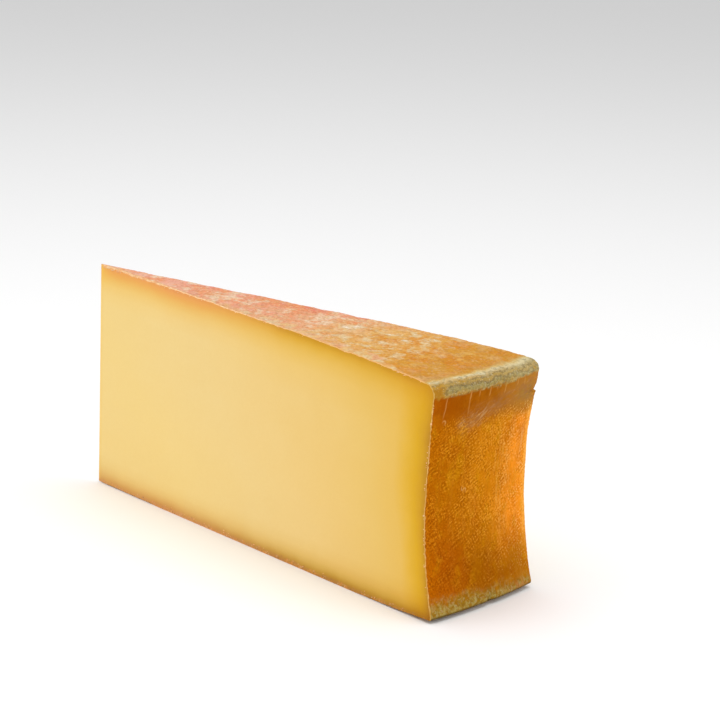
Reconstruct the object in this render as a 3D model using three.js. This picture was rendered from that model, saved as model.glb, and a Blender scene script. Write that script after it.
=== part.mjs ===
// A wedge of a pressed mountain cheese with a concave heel, in millimetres, +Z up.
// It stands on the wheel's lower face with the cut tip towards -X and the heel towards +X.
// The origin is on the surface it stands on, under the middle of its bounding box.
import * as THREE from "three";
import { ImprovedNoise } from "three/addons/math/ImprovedNoise.js";

// The wheel that the wedge was cut from
const WHEEL_RADIUS = 300;
const UPPER_RIM_RADIUS = 297.6;
const WEDGE_ANGLE = THREE.MathUtils.degToRad(16.4);
const TIP_BLUNTING = 2.2; // the cuts stop this far from the wheel's axis

// The upper face: highest at the wheel's middle, falling towards the rim
const TIP_HEIGHT = 133.7;
const FACE_DROP = 5;
const FACE_CURVE = 1.3;
const SHOULDER_DROP = 2.9;
const SHOULDER_CURVE = 10;

// The lower face: a flat foot with four corners, pressed by the shelf. The face lifts off just
// beyond it, and a little more towards the tip and the heel.
const FOOT_FROM = 60;
const FOOT_TO = 240;
const FOOT_STEP = { height: 0.35, length: 6 };
const TIP_LIFT = 0.3;
const HEEL_LIFT = 1.7;

// The heel: a hollow waist between an upper and a lower rim
const WAIST_DEPTH = 6.9;
const WAIST_SKEW = 0.92; // under 1 puts the deepest point below the middle
const UPPER_ROUND = { across: 7.5, down: 10 };
const LOWER_ROUND = { across: 2.2, up: 2.6 };

// The upper rim isn't quite round: it stands further out towards the far cut
const RIM_SKEW = { radial: 1.2, from: 45, inner: 50 };

// The mouldy upper rim stands a little proud of the waist under it
const LIP = { below: 6.3, step: 0.55, span: 1.4, fade: 13 };

// Unevenness of the rind: how far it stands out, and over what length it changes
const SWELL = { height: 0.45, length: 46 };
const PUCKER = { height: 0.3, length: 13 };
const CRAG = { height: 0.8, length: 6.5, reach: 8, atFoot: 0.4 };
const PLEAT = { height: 0.22, pitch: 9.5, sway: 2.5, fadeLow: 30, fadeHigh: 45 };
const EDGE_WEAR = { depth: 0.45, length: 4 };
const TIP_CALM = 25; // the rind is smooth where the wedge is narrower than its lumps
const LOWER_SHARE = 0.4; // the lower face was pressed flatter than the rest

// Damage on the heel: a tear at the far cut, and a nick in the lower rim
const TEAR = { height: 109.5, across: 7, up: 4.5, depth: 1.3, spur: 0.5 };
const NICK = { around: 3.4, across: 1.8, up: 4.2, depth: 1.2 };

// Spacing of the facets
const HEEL_STEP = 2.4;
const UPPER_STEP = 3.3;
const LOWER_STEP = 7.5;
const ROUND_STEPS = 6;

const noise = new ImprovedNoise();
const halfAngle = WEDGE_ANGLE / 2;
const { clamp, lerp, smoothstep } = THREE.MathUtils;
const bell = (distance, width) => Math.exp(-((distance / width) ** 2));

function upperHeight(radius) {
  const share = radius / WHEEL_RADIUS;
  const shoulder = SHOULDER_DROP * share ** SHOULDER_CURVE;
  return TIP_HEIGHT - FACE_DROP * share ** FACE_CURVE - shoulder;
}

function lowerHeight(radius) {
  const beyondFoot = Math.max(FOOT_FROM - radius, radius - FOOT_TO, 0);
  const towardsTip = Math.max(0, 1 - radius / FOOT_FROM);
  const towardsHeel = Math.max(0, (radius - FOOT_TO) / (WHEEL_RADIUS - FOOT_TO));
  const step = FOOT_STEP.height * smoothstep(beyondFoot, 0, FOOT_STEP.length);
  return step + TIP_LIFT * towardsTip ** 2 + HEEL_LIFT * towardsHeel ** 2;
}

const heelFoot = lowerHeight(WHEEL_RADIUS);
const heelHead = upperHeight(UPPER_RIM_RADIUS);
const lipHeight = heelHead - LIP.below;

function heelRadius(height) {
  const share = clamp((height - heelFoot) / (heelHead - heelFoot), 0, 1);
  const skewed = share ** WAIST_SKEW;
  const hollow = 4 * skewed * (1 - skewed);
  return lerp(WHEEL_RADIUS, UPPER_RIM_RADIUS, share) - WAIST_DEPTH * hollow;
}

// Stations of the rind's section, evenly spread along a curve given as a function of one number.
function sampled(curve, from, to, step, part) {
  const count = Math.max(1, Math.round(Math.abs(to - from) / step));
  return Array.from({ length: count + 1 }, (_, i) => {
    const point = curve(lerp(from, to, i / count));
    return { radius: point.x, height: point.y, step, part };
  });
}

// Stations of a rounded corner, without its two ends.
function rounded(start, corner, end) {
  const curve = new THREE.QuadraticBezierCurve(start, corner, end);
  const inner = curve.getPoints(ROUND_STEPS).slice(1, -1);
  return inner.map((p) => ({ radius: p.x, height: p.y, step: HEEL_STEP, part: "rim" }));
}

// An end of the foot: its step is so long that only the two points on the cuts are made.
function footCorners(radius) {
  return { radius, height: 0, step: WHEEL_RADIUS, part: "lower" };
}

// The rind's section from the lower tip round the heel to the upper tip.
function sectionOfRind() {
  const lower = (radius) => new THREE.Vector2(radius, lowerHeight(radius));
  const upper = (radius) => new THREE.Vector2(radius, upperHeight(radius));
  const heel = (height) => new THREE.Vector2(heelRadius(height), height);
  const lowerEnd = WHEEL_RADIUS - LOWER_ROUND.across;
  const upperEnd = UPPER_RIM_RADIUS - UPPER_ROUND.across;
  const heelFrom = heelFoot + LOWER_ROUND.up;
  const heelTo = heelHead - UPPER_ROUND.down;
  const lowerCorner = new THREE.Vector2(WHEEL_RADIUS, heelFoot);
  const upperCorner = new THREE.Vector2(UPPER_RIM_RADIUS, heelHead);
  return [
    ...sampled(lower, TIP_BLUNTING, FOOT_FROM, LOWER_STEP, "lower").slice(0, -1),
    ...[FOOT_FROM, FOOT_TO].map(footCorners),
    ...sampled(lower, FOOT_TO, lowerEnd, LOWER_STEP, "lower").slice(1),
    ...rounded(lower(lowerEnd), lowerCorner, heel(heelFrom)),
    ...sampled(heel, heelFrom, heelTo, HEEL_STEP, "heel"),
    ...rounded(heel(heelTo), upperCorner, upper(upperEnd)),
    ...sampled(upper, upperEnd, TIP_BLUNTING, UPPER_STEP, "upper"),
  ];
}

// Lumps that fade in and out in every direction, zero on average.
function lumps({ height, length }, point, shift) {
  return height * noise.noise(...point.map((value) => value / length + shift));
}

// Shallow upright folds round the waist, where the cloth was drawn tight.
function pleats(around, height) {
  const fromFoot = smoothstep(height, heelFoot, heelFoot + PLEAT.fadeLow);
  const fromLip = 1 - smoothstep(height, lipHeight - PLEAT.fadeHigh, lipHeight);
  const sway = PLEAT.sway * noise.noise(around / 30, height / 45, 8.2);
  const phase = ((around + sway) * 2 * Math.PI) / PLEAT.pitch;
  return PLEAT.height * Math.sin(phase) * fromFoot * fromLip;
}

// A groove right under the lip of the upper rim, running out downwards.
function underLip(height) {
  const below = 1 - smoothstep(height, lipHeight - LIP.span, lipHeight);
  return -LIP.step * below * smoothstep(height, lipHeight - LIP.fade, lipHeight);
}

// The rind is torn at the far cut, with a spur that stands out under the tear.
function tear(around, height) {
  const share = (height - TEAR.height) / TEAR.up;
  const spur = TEAR.spur * Math.max(0, 1 + share);
  const torn = TEAR.depth * Math.max(0, 1 - share);
  return bell(around - halfAngle * WHEEL_RADIUS, TEAR.across) * (share < 0 ? spur : -torn);
}

function nick(around, height) {
  return -NICK.depth * bell(around - NICK.around, NICK.across) * bell(height - heelFoot, NICK.up);
}

function rimSkew({ radius, height }, turn) {
  const up = smoothstep(height, heelHead - RIM_SKEW.from, heelHead);
  const outwards = smoothstep(radius, WHEEL_RADIUS - RIM_SKEW.inner, UPPER_RIM_RADIUS);
  return ((RIM_SKEW.radial * turn) / halfAngle) * up * outwards;
}

// How far the rind stands out along its normal. turn is the angle from the wedge's middle.
function relief({ radius, height, part }, turn) {
  if (part === "lower" && radius <= FOOT_TO) return 0;
  const point = [radius * Math.cos(turn), radius * Math.sin(turn), height];
  const even = lumps(SWELL, point, 3.7) + lumps(PUCKER, point, 11.3);
  if (part === "lower") {
    return -LOWER_SHARE * Math.abs(even) * smoothstep(radius, FOOT_TO, WHEEL_RADIUS);
  }
  const around = turn * WHEEL_RADIUS;
  const nearHeel = smoothstep(radius, WHEEL_RADIUS - 3 * CRAG.reach, WHEEL_RADIUS - CRAG.reach);
  const atFoot = CRAG.atFoot * bell(height - heelFoot, CRAG.reach);
  const nearRim = bell(height - heelHead, CRAG.reach) + atFoot;
  const crags = nearHeel * nearRim * lumps(CRAG, point, 23.1);
  if (part === "upper") return even + crags;
  const waist = underLip(height) + pleats(around, height);
  return even + crags + waist + tear(around, height) + nick(around, height);
}

// The rind crumbles unevenly along the two cuts.
function edgeWear({ radius, height, part }, side) {
  if (part === "lower") return 0;
  const { depth, length } = EDGE_WEAR;
  return -depth * Math.abs(noise.noise(radius / length, height / length, side));
}

// The points across the wedge at one station of the section, from the near cut to the far one.
function rowAt(station, outward) {
  const columns = Math.max(1, Math.round((station.radius * WEDGE_ANGLE) / station.step));
  const calm = smoothstep(station.radius, TIP_BLUNTING, TIP_CALM);
  return Array.from({ length: columns + 1 }, (_, i) => {
    const turn = lerp(-halfAngle, halfAngle, i / columns);
    const atCut = i === 0 || i === columns;
    const wear = atCut ? edgeWear(station, 0.5 + Math.sign(i)) : 0;
    const out = calm * relief(station, turn) + wear;
    const radius = station.radius + outward.x * out + rimSkew(station, turn);
    const height = station.height + outward.y * out;
    return new THREE.Vector3(radius * Math.cos(turn), radius * Math.sin(turn), height);
  });
}

// Triangles between two rows that may hold different numbers of points.
function stitch(rowA, rowB, addTriangle) {
  const lastA = rowA.length - 1;
  const lastB = rowB.length - 1;
  let a = 0;
  let b = 0;
  while (a < lastA || b < lastB) {
    const stepOnA = b === lastB || (a < lastA && (a + 1) / lastA <= (b + 1) / lastB);
    if (stepOnA) {
      addTriangle(rowA[a], rowA[a + 1], rowB[b]);
      a += 1;
    } else {
      addTriangle(rowA[a], rowB[b + 1], rowB[b]);
      b += 1;
    }
  }
}

// A flat cut face: its outline joined to the middle of it.
function cutFace(outline, addTriangle) {
  const middle = new THREE.Box3().setFromPoints(outline).getCenter(new THREE.Vector3());
  outline.forEach((point, i) => addTriangle(middle, point, outline[(i + 1) % outline.length]));
}

function wedgeGeometry() {
  const section = sectionOfRind();
  const rows = section.map((station, i) => {
    const before = section[Math.max(0, i - 1)];
    const after = section[Math.min(section.length - 1, i + 1)];
    const outward = new THREE.Vector2(after.height - before.height, before.radius - after.radius);
    return rowAt(station, outward.normalize());
  });
  const positions = [];
  const addTriangle = (...corners) => corners.forEach((p) => positions.push(p.x, p.y, p.z));

  rows.forEach((row, i) => stitch(row, rows[(i + 1) % rows.length], addTriangle));
  cutFace(rows.map((row) => row[0]), addTriangle);
  cutFace(rows.map((row) => row[row.length - 1]).reverse(), addTriangle);

  const geometry = new THREE.BufferGeometry();
  geometry.setAttribute("position", new THREE.Float32BufferAttribute(positions, 3));
  geometry.computeVertexNormals();
  return geometry;
}

// Moves a geometry so that its box stands on z = 0 with the origin under its middle.
function standOnOrigin(geometry) {
  geometry.computeBoundingBox();
  const { min, max } = geometry.boundingBox;
  return geometry.translate(-(min.x + max.x) / 2, -(min.y + max.y) / 2, -min.z);
}

function ripePaste() {
  return new THREE.MeshStandardMaterial({ color: 0xf0d085, roughness: 0.55, metalness: 0 });
}

const wedge = new THREE.Mesh(standOnOrigin(wedgeGeometry()), ripePaste());
wedge.name = "cheese_wedge";

const cheese = new THREE.Group();
cheese.add(wedge);

export default cheese;
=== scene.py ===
import math
import random

import bmesh
import bpy
from mathutils import Matrix, Vector, noise
from mathutils.geometry import delaunay_2d_cdt


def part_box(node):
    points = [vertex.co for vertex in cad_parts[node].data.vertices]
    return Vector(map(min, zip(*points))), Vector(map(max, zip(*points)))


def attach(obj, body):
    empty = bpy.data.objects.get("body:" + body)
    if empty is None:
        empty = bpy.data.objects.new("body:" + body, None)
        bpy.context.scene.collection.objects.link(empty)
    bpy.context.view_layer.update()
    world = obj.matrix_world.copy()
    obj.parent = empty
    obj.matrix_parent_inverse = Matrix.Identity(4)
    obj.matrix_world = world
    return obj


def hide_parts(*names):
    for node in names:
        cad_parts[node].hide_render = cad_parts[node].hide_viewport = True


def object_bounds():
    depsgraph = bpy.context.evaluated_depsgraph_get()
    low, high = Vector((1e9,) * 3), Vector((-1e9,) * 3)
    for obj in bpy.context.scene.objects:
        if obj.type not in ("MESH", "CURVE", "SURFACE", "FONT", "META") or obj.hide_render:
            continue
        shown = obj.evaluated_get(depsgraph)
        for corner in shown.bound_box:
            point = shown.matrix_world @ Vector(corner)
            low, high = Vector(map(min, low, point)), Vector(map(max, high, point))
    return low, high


# A wedge of pressed mountain cheese: one skin of rind and paste over the solid wedge,
# and the crumbs that the knife left along its edges. Lengths are in metres.
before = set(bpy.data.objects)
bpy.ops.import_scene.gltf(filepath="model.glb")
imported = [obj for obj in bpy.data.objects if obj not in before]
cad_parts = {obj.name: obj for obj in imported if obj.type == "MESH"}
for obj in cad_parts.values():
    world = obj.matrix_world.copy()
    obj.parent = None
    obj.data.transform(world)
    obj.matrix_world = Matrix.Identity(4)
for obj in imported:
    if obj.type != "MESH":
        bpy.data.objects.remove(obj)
cadLow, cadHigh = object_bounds()
solidLow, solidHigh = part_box("cheese_wedge")

wheel = {
    "radius": 0.3,
    "upperRim": 0.2976,
    "angle": math.radians(16.4),  # between the two cuts
    "tipBlunt": 0.0022,  # the cuts stop this far from the wheel's axis
}
halfAngle = wheel["angle"] / 2
axisX = solidLow.x - wheel["tipBlunt"] * math.cos(halfAngle)  # the wheel's axis in the part's frame

faces = {
    "tipHeight": 0.1337,
    "drop": 0.005,  # from the wheel's middle to its rim
    "dropCurve": 1.3,
    "shoulder": 0.0029,
    "shoulderCurve": 10,
    "footFrom": 0.06,  # the lower face is flat between these two radii, and lifts off beyond them
    "footTo": 0.24,
    "footStep": 0.00035,
    "stepLength": 0.006,
    "tipLift": 0.0003,
    "heelLift": 0.0017,
}

heel = {
    "waist": 0.0069,
    "skew": 0.92,
    "roundAcross": 0.0075,
    "roundDown": 0.010,
    "footAcross": 0.0022,
    "footUp": 0.0026,
    "rimSkew": 0.0012,  # the upper rim stands further out towards the far cut
    "rimSkewFrom": 0.045,
    "rimSkewInner": 0.05,
}

lip = {
    "below": 0.0063,
    "step": 0.0006,
    "span": 0.0011,
    "fade": 0.013,
    "ragged": (0.0013, 0.003),  # how far its edge comes and goes, and over what length
    "raggedDetail": (0.8, 2.3, 3),
    "farRise": 0.0014,  # the band is narrower towards the far cut
    "farFrom": (0.01, 0.04),
}

grid = {
    "thread": 0.00042,  # half the pitch of the cloth, so each point is one thread up or down
    "upper": 0.00085,
    "lower": 0.0025,
    "rounds": 16,
    "crumbledEdge": 0.0005,  # width of the pale, crumbled strip along each cut
    "paste": 0.005,
}


def smooth(value, start, end):
    share = min(max((value - start) / (end - start), 0), 1)
    return share * share * (3 - 2 * share)


def bell(distance, width):
    return math.exp(-((distance / width) ** 2))


def blend(a, b, share):
    return a + (b - a) * share


def upperHeight(radius):
    share = radius / wheel["radius"]
    shoulder = faces["shoulder"] * share ** faces["shoulderCurve"]
    return faces["tipHeight"] - faces["drop"] * share ** faces["dropCurve"] - shoulder


def lowerHeight(radius):
    beyondFoot = max(faces["footFrom"] - radius, radius - faces["footTo"], 0)
    towardsTip = max(0, 1 - radius / faces["footFrom"])
    towardsHeel = max(0, (radius - faces["footTo"]) / (wheel["radius"] - faces["footTo"]))
    step = faces["footStep"] * smooth(beyondFoot, 0, faces["stepLength"])
    return step + faces["tipLift"] * towardsTip**2 + faces["heelLift"] * towardsHeel**2


heelFoot = lowerHeight(wheel["radius"])
heelHead = upperHeight(wheel["upperRim"])
lipHeight = heelHead - lip["below"]


def heelRadius(height):
    share = min(max((height - heelFoot) / (heelHead - heelFoot), 0), 1)
    skewed = share ** heel["skew"]
    hollow = 4 * skewed * (1 - skewed)
    return blend(wheel["radius"], wheel["upperRim"], share) - heel["waist"] * hollow


def along(curve, start, end, step, part):
    count = max(1, round(abs(end - start) / step))
    return [(*curve(blend(start, end, i / count)), part, step) for i in range(count + 1)]


def roundedCorner(start, corner, end, part):
    stations = []
    for i in range(1, grid["rounds"]):
        share = i / grid["rounds"]
        first, second = start.lerp(corner, share), corner.lerp(end, share)
        point = first.lerp(second, share)
        stations.append((point.x, point.y, part, grid["thread"]))
    return stations


def rindSection():
    # From the lower tip round the heel to the upper tip: (radius, height, part, step across)
    def lower(radius):
        return radius, lowerHeight(radius)

    def upper(radius):
        return radius, upperHeight(radius)

    def side(height):
        return heelRadius(height), height

    footEnd = wheel["radius"] - heel["footAcross"]
    headEnd = wheel["upperRim"] - heel["roundAcross"]
    sideFrom = heelFoot + heel["footUp"]
    sideTo = heelHead - heel["roundDown"]
    foot = Vector((wheel["radius"], heelFoot))
    head = Vector((wheel["upperRim"], heelHead))
    section = along(lower, wheel["tipBlunt"], footEnd, grid["lower"], "lower")
    section += roundedCorner(Vector(lower(footEnd)), foot, Vector(side(sideFrom)), "rim")
    section += along(side, sideFrom, sideTo, grid["thread"], "heel")
    section += roundedCorner(Vector(side(sideTo)), head, Vector(upper(headEnd)), "rim")
    section += along(upper, headEnd, wheel["tipBlunt"], grid["upper"], "upper")
    return section


# The cloth's imprint, its folds and the marks on the heel. Places run across the heel from
# its middle towards the far cut, and down from the upper rim.
cloth = {
    "weave": 0.00008,
    "tilt": math.radians(24.5),  # one set of threads rises this steeply towards the far cut
    "pitch": (0.0019, 0.0022),  # distance between two threads of each set
    "warp": 0.0015,  # how far the threads wander, and over what length
    "warpLength": 0.008,
    "lean": (0.6, 0.5, 0.012),  # which set shows more: on average, how far it varies, over what length
    "pleat": 0.0002,
    "pleatPitch": 0.0095,
    "pleatEnds": (0.03, 0.045),  # the pleats fade towards the foot and towards the rim
    "sway": (0.0025, 0.03, 0.045),  # how far they sway, and over what lengths across and up
    "smoothBelowRim": 0.020,  # above this the rind is glazed and the weave hardly shows
    "smoothEdge": (0.006, 0.02, 0.005),  # how far that line wanders, over what length, and how soft it is
    "bare": 0.2,  # share of the weave left on the glazed rind
    "footFade": 0.014,
    "worn": (0.7, 0.6, 0.008),  # how much of the weave shows, how that varies, over what length
}
creases = {
    "height": 0.0002,
    "width": 0.00034,
    "slant": 0.13,
    "waver": (0.0006, 0.004),  # how far a crease wavers, and over what length
    "fadeFrom": 0.6,
    # place on the rim, length below it and strength
    "places": [
        (-0.0330, 0.0135, 0.8), (-0.0150, 0.0050, 1.0), (-0.0153, 0.0150, 0.6), (-0.0085, 0.0045, 0.7),
        (0.0000, 0.0060, 0.9), (0.0060, 0.0030, 0.6), (0.0125, 0.0065, 0.9), (0.0230, 0.0040, 0.7),
        (0.0300, 0.0050, 0.6),
    ],
}
scuff = {
    "from": (0.039, 0.0095),
    "to": (-0.018, 0.0235),
    "width": 0.0057,
    "lowWidth": 0.75,  # share of the width that is left at the low end
    "lowEnd": (0.55, 0.85),
    "strokes": (0.0055, 0.0009),  # length and width of one scratch
    "tilts": (math.radians(14), math.radians(32)),  # most run along the scuff, some steeper at its low end
}
stain = {"place": (0.034, 0.0155), "across": 0.010, "down": 0.0055}  # brown patch at the scuff's start
ringMarks = {
    "radius": 0.0011,
    "width": 0.00035,
    "depth": 0.0002,
    "share": 1.3,  # how much plainer their colour is than the creases'
    # place, depth and the side on which the ring is open
    "places": [(-0.034, 0.0205, 2.4), (-0.0155, 0.059, -0.6), (-0.0139, 0.0605, 2.0)],
}
tear = {"height": 0.1095, "across": 0.007, "up": 0.0045, "depth": 0.0013, "spur": 0.0005}
nick = {"around": 0.0034, "across": 0.0018, "up": 0.0042, "depth": 0.0012}

crust = {
    "swell": (0.00045, 0.046),  # height and length of each kind of lump
    "pucker": (0.0003, 0.013),
    "grit": (0.00016, 0.0019),
    "crag": (0.0004, 0.0045),
    "cragReach": 0.007,
    "cragDetail": (0.8, 2.2, 3),  # how fast finer detail weakens, how much finer each step is, and steps
    "cragFoot": 0.35,
    "pits": (0.0002, 0.0075),
    "pitsDetail": (0.7, 2.1, 4),
    "lowerShare": 0.4,
    "heelGrit": 0.5,
}


def lumps(kind, point, shift):
    height, length = crust[kind]
    return height * noise.noise(point / length + Vector((shift, shift, shift)))


def creaseAt(around, down):
    found = 0
    waver, waverLength = creases["waver"]
    for place, length, strength in creases["places"]:
        middle = place - creases["slant"] * (down - lip["below"])
        middle += waver * noise.noise(Vector((place * 900, down / waverLength, 1.5)))
        reach = 1 - smooth(down, lip["below"] + length * creases["fadeFrom"], lip["below"] + length)
        found = max(found, bell(around - middle, creases["width"]) * reach * strength)
    return found


def scuffAt(around, down):
    start, end = Vector(scuff["from"]), Vector(scuff["to"])
    line = end - start
    place = Vector((around, down)) - start
    share = min(max(place.dot(line) / line.length_squared, 0), 1)
    away = (place - line * share).length
    return bell(away, scuff["width"] * blend(1.0, scuff["lowWidth"], share)), share


def stainAt(around, down):
    place, depth = stain["place"]
    return bell((around - place) / stain["across"], 1) * bell((down - depth) / stain["down"], 1)


def clothAt(around, height, point):
    # Where the point lies across each set of threads, as angles, and which of the two shows more
    rise, run = math.sin(cloth["tilt"]), math.cos(cloth["tilt"])
    first = cloth["warp"] * noise.noise(point / cloth["warpLength"])
    second = cloth["warp"] * noise.noise(point / cloth["warpLength"] + Vector((5, 5, 5)))
    rising = (around * rise - height * run + first) * 2 * math.pi / cloth["pitch"][0]
    falling = (around * run + height * rise + second) * 2 * math.pi / cloth["pitch"][1]
    lean, variation, length = cloth["lean"]
    return rising, falling, lean + variation * noise.noise(point / length)


def ringAt(around, down):
    found = 0
    for place, depth, opening in ringMarks["places"]:
        away = math.hypot(around - place, down - depth)
        closed = 0.5 - 0.5 * math.cos(math.atan2(down - depth, around - place) - opening)
        found = max(found, bell(away - ringMarks["radius"], ringMarks["width"]) * closed)
    return found


def tearAt(around, height):
    share = (height - tear["height"]) / tear["up"]
    spur = tear["spur"] * max(0, 1 + share * 3)
    torn = tear["depth"] * max(0, 1 - share)
    away = around - halfAngle * wheel["radius"]
    return bell(away, tear["across"]) * (spur if share < 0 else -torn)


def nickAt(around, height):
    across = bell(around - nick["around"], nick["across"])
    return -nick["depth"] * across * bell(height - heelFoot, nick["up"])


def rimSkewAt(radius, height, turn):
    up = smooth(height, heelHead - heel["rimSkewFrom"], heelHead)
    outwards = smooth(radius, wheel["radius"] - heel["rimSkewInner"], wheel["upperRim"])
    return heel["rimSkew"] * turn / halfAngle * up * outwards


markNames = (
    "rising", "falling", "lean", "woven", "crease", "scuff", "scuffEnd", "stain", "rimBand",
    "across", "fromRim",
)


def rindRelief(radius, height, part, turn, fromRim):
    # How far the rind stands out, and what the finish needs to know about the point
    point = Vector((radius * math.cos(turn), radius * math.sin(turn), height))
    around = turn * wheel["radius"]
    down = heelHead - height
    even = lumps("swell", point, 3.7) + lumps("pucker", point, 11.3)
    grit = lumps("grit", point, 5.1)
    marks = dict.fromkeys(markNames, 0.0)
    marks["across"] = around
    marks["fromRim"] = fromRim
    if part == "lower":
        lift = abs(even) * smooth(radius, faces["footTo"], wheel["radius"]) + abs(grit)
        return -crust["lowerShare"] * lift, marks
    nearHeel = smooth(radius, wheel["radius"] - 3 * crust["cragReach"], wheel["radius"] - crust["cragReach"])
    nearHead = bell(height - heelHead, crust["cragReach"]) * nearHeel
    nearFoot = bell(height - heelFoot, crust["cragReach"]) * nearHeel
    crag = noise.fractal(point / crust["crag"][1], *crust["cragDetail"]) * crust["crag"][0]
    out = even + crag * (nearHead + crust["cragFoot"] * nearFoot)
    if part == "upper":
        pits = noise.fractal(point / crust["pits"][1] + Vector((9, 2, 4)), *crust["pitsDetail"])
        out += crust["pits"][0] * pits + grit
        marks["rimBand"] = 1.0
        return out, marks
    ragged, raggedLength = lip["ragged"]
    raggedLip = lipHeight + ragged * noise.fractal(point / raggedLength, *lip["raggedDetail"])
    raggedLip += lip["farRise"] * smooth(around, *lip["farFrom"])
    below = 1 - smooth(height, raggedLip - lip["span"], raggedLip)
    out -= lip["step"] * below * smooth(height, lipHeight - lip["fade"], lipHeight)
    wander, length, soft = cloth["smoothEdge"]
    line = cloth["smoothBelowRim"]
    woven = smooth(down + wander * noise.noise(point / length), line - soft, line + soft)
    woven = blend(cloth["bare"], 1, woven) * below * smooth(height, heelFoot, heelFoot + cloth["footFade"])
    shown, variation, length = cloth["worn"]
    marks["woven"] = woven * (shown + variation * noise.noise(point / length))
    marks["rising"], marks["falling"], marks["lean"] = clothAt(around, height, point)
    crease, ring = creaseAt(around, down), ringAt(around, down)
    marks["crease"] = max(crease, ringMarks["share"] * ring) * below
    scuffed, alongScuff = scuffAt(around, down)
    marks["scuff"], marks["scuffEnd"] = scuffed * below, smooth(alongScuff, *scuff["lowEnd"])
    marks["stain"] = stainAt(around, down) * below
    marks["rimBand"] = 1 - below
    fromFoot = smooth(height, heelFoot, heelFoot + cloth["pleatEnds"][0])
    fromLip = 1 - smooth(height, lipHeight - cloth["pleatEnds"][1], lipHeight)
    sway, swayAcross, swayUp = cloth["sway"]
    sway *= noise.noise(Vector((around / swayAcross, height / swayUp, 8.2)))
    pleat = math.sin((around + sway) * 2 * math.pi / cloth["pleatPitch"]) * fromFoot * fromLip
    threads = blend(math.cos(marks["falling"]), math.cos(marks["rising"]), marks["lean"])
    out += cloth["weave"] * marks["woven"] * threads + cloth["pleat"] * pleat
    out += grit * crust["heelGrit"] + creases["height"] * crease * below - ringMarks["depth"] * ring
    return out + tearAt(around, height) + nickAt(around, height), marks


def acrossRind(station):
    # Turns across the wedge: the outermost steps on each side are the crumbled strips
    radius, height, part, step = station
    width = radius * wheel["angle"]
    strip = min(grid["crumbledEdge"], width * 0.25)
    count = max(1, round((width - 2 * strip) / step))
    inner = [(-width / 2 + strip + (width - 2 * strip) * i / count) / radius for i in range(count + 1)]
    return [-halfAngle] + inner + [halfAngle]


edges = {
    "wear": (0.0002, 0.0004, 0.0003),  # evenly, in crumbs and over longer stretches
    "crumbLength": 0.0022,
    "stretchLength": 0.011,
    "wander": 0.0006,  # how raggedly the crumbled strip ends
    "wanderLength": 0.0016,
    "farShare": 0.35,  # the far cut came off cleaner
    "tipWear": 0.0011,  # the upper edge crumbled most near the tip
    "tipReach": 0.06,
    "tipDepth": 0.01,
    "tipPatches": (-0.7, 0.3),
    "sharpTip": 0.008,  # no wear at all at the tip itself, and little relief up to the next radius
    "calmTip": (0.02, 0.35),
}


def edgeWear(radius, height, side):
    even, crumb, stretch = edges["wear"]
    place = Vector((radius, height, 0))
    crumbs = noise.noise(place / edges["crumbLength"] + Vector((0, 0, side * 7.3)))
    stretches = noise.noise(place / edges["stretchLength"] + Vector((0, 0, side * 3.1)))
    share = edges["farShare"] if side > 0 else 1
    nearTip = bell(radius, edges["tipReach"]) * smooth(height, heelHead - edges["tipDepth"], heelHead)
    tip = edges["tipWear"] * nearTip * smooth(crumbs + stretches, *edges["tipPatches"])
    return even + (crumb * abs(crumbs) + stretch * abs(stretches) + tip) * share


def rindRows(section):
    rows = []
    rimAt = next(i for i, station in enumerate(section) if station[2] == "upper")
    calmRadius, calmShare = edges["calmTip"]
    lengths = [0.0]
    for first, second in zip(section, section[1:]):
        lengths.append(lengths[-1] + math.dist(first[:2], second[:2]))
    for index, station in enumerate(section):
        radius, height, part, step = station
        fromRim = lengths[rimAt] - lengths[index]  # along the rind, down the heel from the upper face
        before, after = section[max(0, index - 1)], section[min(len(section) - 1, index + 1)]
        outward = Vector((after[1] - before[1], before[0] - after[0])).normalized()
        calm = smooth(radius, wheel["tipBlunt"], calmRadius)
        turns = acrossRind(station)
        row = []
        for column, turn in enumerate(turns):
            side = -1 if column == 0 else 1 if column == len(turns) - 1 else 0
            relief, marks = rindRelief(radius, height, part, turn, fromRim)
            out = relief * blend(calmShare, 1, calm)
            if side and part != "lower":
                out -= edgeWear(radius, height, side) * smooth(radius, 0, edges["sharpTip"])
            if column in (1, len(turns) - 2):
                place = Vector((radius, height, 0)) / edges["wanderLength"]
                wander = noise.noise(place + Vector((0, 0, column)))
                share = 1 if column == 1 else -edges["farShare"]
                turn -= edges["wander"] * wander * calm * share / radius
            far = radius + outward.x * out + rimSkewAt(radius, height, turn)
            point = Vector((axisX + far * math.cos(turn), far * math.sin(turn), height + outward.y * out))
            row.append((point, marks))
        rows.append(row)
    return rows


def insideCad(point):
    # The skin never stands outside the solid's box
    return Vector(min(max(value, lo), hi) for value, lo, hi in zip(point, cadLow, cadHigh))


rindSlot, pasteSlot, crumbledSlot = 0, 1, 2


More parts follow.
